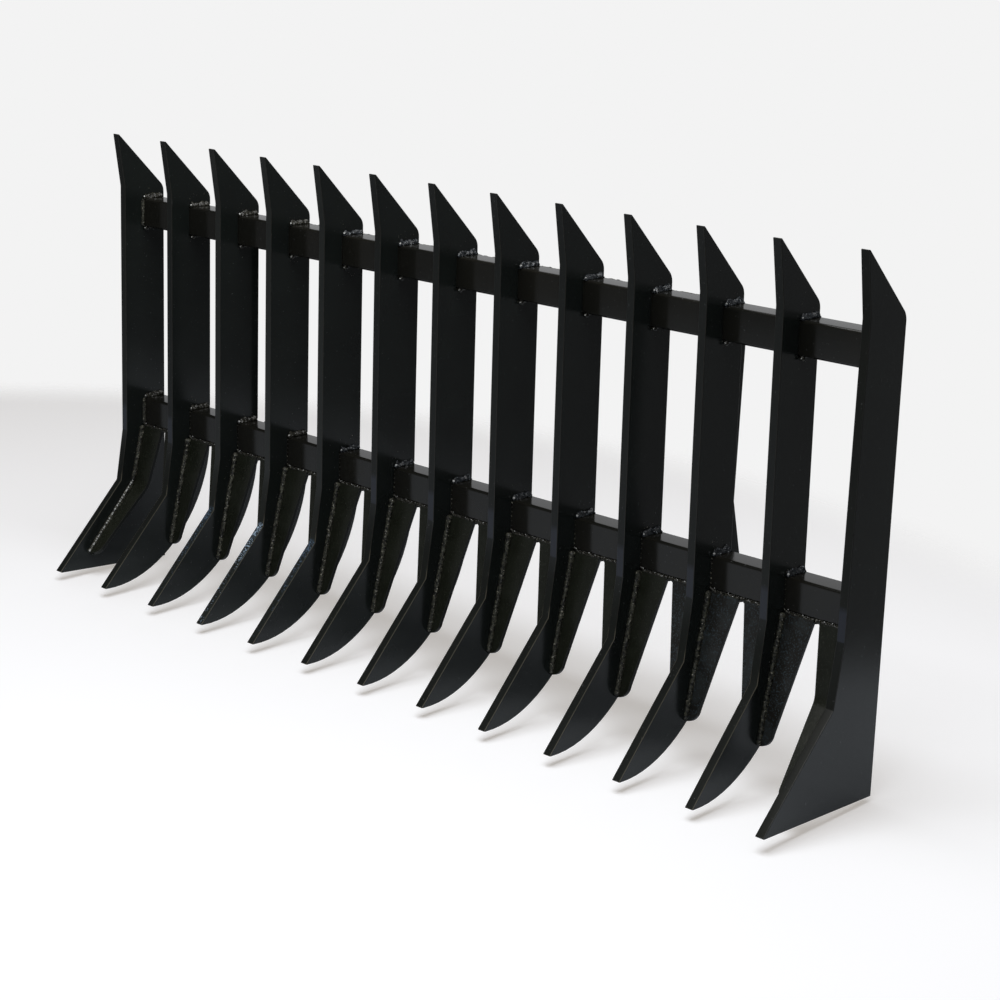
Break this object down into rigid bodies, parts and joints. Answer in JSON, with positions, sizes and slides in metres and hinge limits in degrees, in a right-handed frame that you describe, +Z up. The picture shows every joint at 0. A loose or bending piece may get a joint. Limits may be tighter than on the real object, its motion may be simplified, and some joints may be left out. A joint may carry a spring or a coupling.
{
  "type": "skid steer root rake",
  "caption": "Black welded root and stick rake for a skid steer: upright hooked tine plates on two cross tubes, gussets under the lower tube, coupler hitch behind.",
  "frame": {"origin": "centre of the bounding box's footprint, at the height of the lowest point", "axes": "+X along the cross tubes to the end plate that leans back, +Y rearward to the loader hitch, +Z up along the tines"},
  "size_m": [1.8448, 0.3872, 0.93],
  "materials": {
    "end_gusset_left": "semi-gloss black paint",
    "end_gusset_right": "semi-gloss black paint",
    "end_plate_left": "semi-gloss black paint",
    "end_plate_right": "semi-gloss black paint",
    "gusset_02_left": "semi-gloss black paint",
    "gusset_02_right": "semi-gloss black paint",
    "gusset_03_left": "semi-gloss black paint",
    "gusset_03_right": "semi-gloss black paint",
    "gusset_04_left": "semi-gloss black paint",
    "gusset_04_right": "semi-gloss black paint",
    "gusset_05_left": "semi-gloss black paint",
    "gusset_05_right": "semi-gloss black paint",
    "gusset_06_left": "semi-gloss black paint",
    "gusset_06_right": "semi-gloss black paint",
    "gusset_07_left": "semi-gloss black paint",
    "gusset_07_right": "semi-gloss black paint",
    "gusset_08_left": "semi-gloss black paint",
    "gusset_08_right": "semi-gloss black paint",
    "gusset_09_left": "semi-gloss black paint",
    "gusset_09_right": "semi-gloss black paint",
    "gusset_10_left": "semi-gloss black paint",
    "gusset_10_right": "semi-gloss black paint",
    "gusset_11_left": "semi-gloss black paint",
    "gusset_11_right": "semi-gloss black paint",
    "gusset_12_left": "semi-gloss black paint",
    "gusset_12_right": "semi-gloss black paint",
    "hitch_lip": "semi-gloss black paint",
    "hitch_shelf": "semi-gloss black paint",
    "hitch_side_left": "semi-gloss black paint",
    "hitch_side_right": "semi-gloss black paint",
    "lower_tube": "semi-gloss black paint",
    "tine_02": "semi-gloss black paint",
    "tine_03": "semi-gloss black paint",
    "tine_04": "semi-gloss black paint",
    "tine_05": "semi-gloss black paint",
    "tine_06": "semi-gloss black paint",
    "tine_07": "semi-gloss black paint",
    "tine_08": "semi-gloss black paint",
    "tine_09": "semi-gloss black paint",
    "tine_10": "semi-gloss black paint",
    "tine_11": "semi-gloss black paint",
    "tine_12": "semi-gloss black paint",
    "upper_tube": "semi-gloss black paint"
  },
  "bodies": {
    "root": {"end_gusset_left": "end_gusset_left", "end_gusset_right": "end_gusset_right", "end_plate_left": "end_plate_left", "end_plate_right": "end_plate_right", "gusset_02_left": "gusset_02_left", "gusset_02_right": "gusset_02_right", "gusset_03_left": "gusset_03_left", "gusset_03_right": "gusset_03_right", "gusset_04_left": "gusset_04_left", "gusset_04_right": "gusset_04_right", "gusset_05_left": "gusset_05_left", "gusset_05_right": "gusset_05_right", "gusset_06_left": "gusset_06_left", "gusset_06_right": "gusset_06_right", "gusset_07_left": "gusset_07_left", "gusset_07_right": "gusset_07_right", "gusset_08_left": "gusset_08_left", "gusset_08_right": "gusset_08_right", "gusset_09_left": "gusset_09_left", "gusset_09_right": "gusset_09_right", "gusset_10_left": "gusset_10_left", "gusset_10_right": "gusset_10_right", "gusset_11_left": "gusset_11_left", "gusset_11_right": "gusset_11_right", "gusset_12_left": "gusset_12_left", "gusset_12_right": "gusset_12_right", "hitch_lip": "hitch_lip", "hitch_shelf": "hitch_shelf", "hitch_side_left": "hitch_side_left", "hitch_side_right": "hitch_side_right", "lower_tube": "lower_tube", "tine_02": "tine_02", "tine_03": "tine_03", "tine_04": "tine_04", "tine_05": "tine_05", "tine_06": "tine_06", "tine_07": "tine_07", "tine_08": "tine_08", "tine_09": "tine_09", "tine_10": "tine_10", "tine_11": "tine_11", "tine_12": "tine_12", "upper_tube": "upper_tube"}
  },
  "joints": []
}
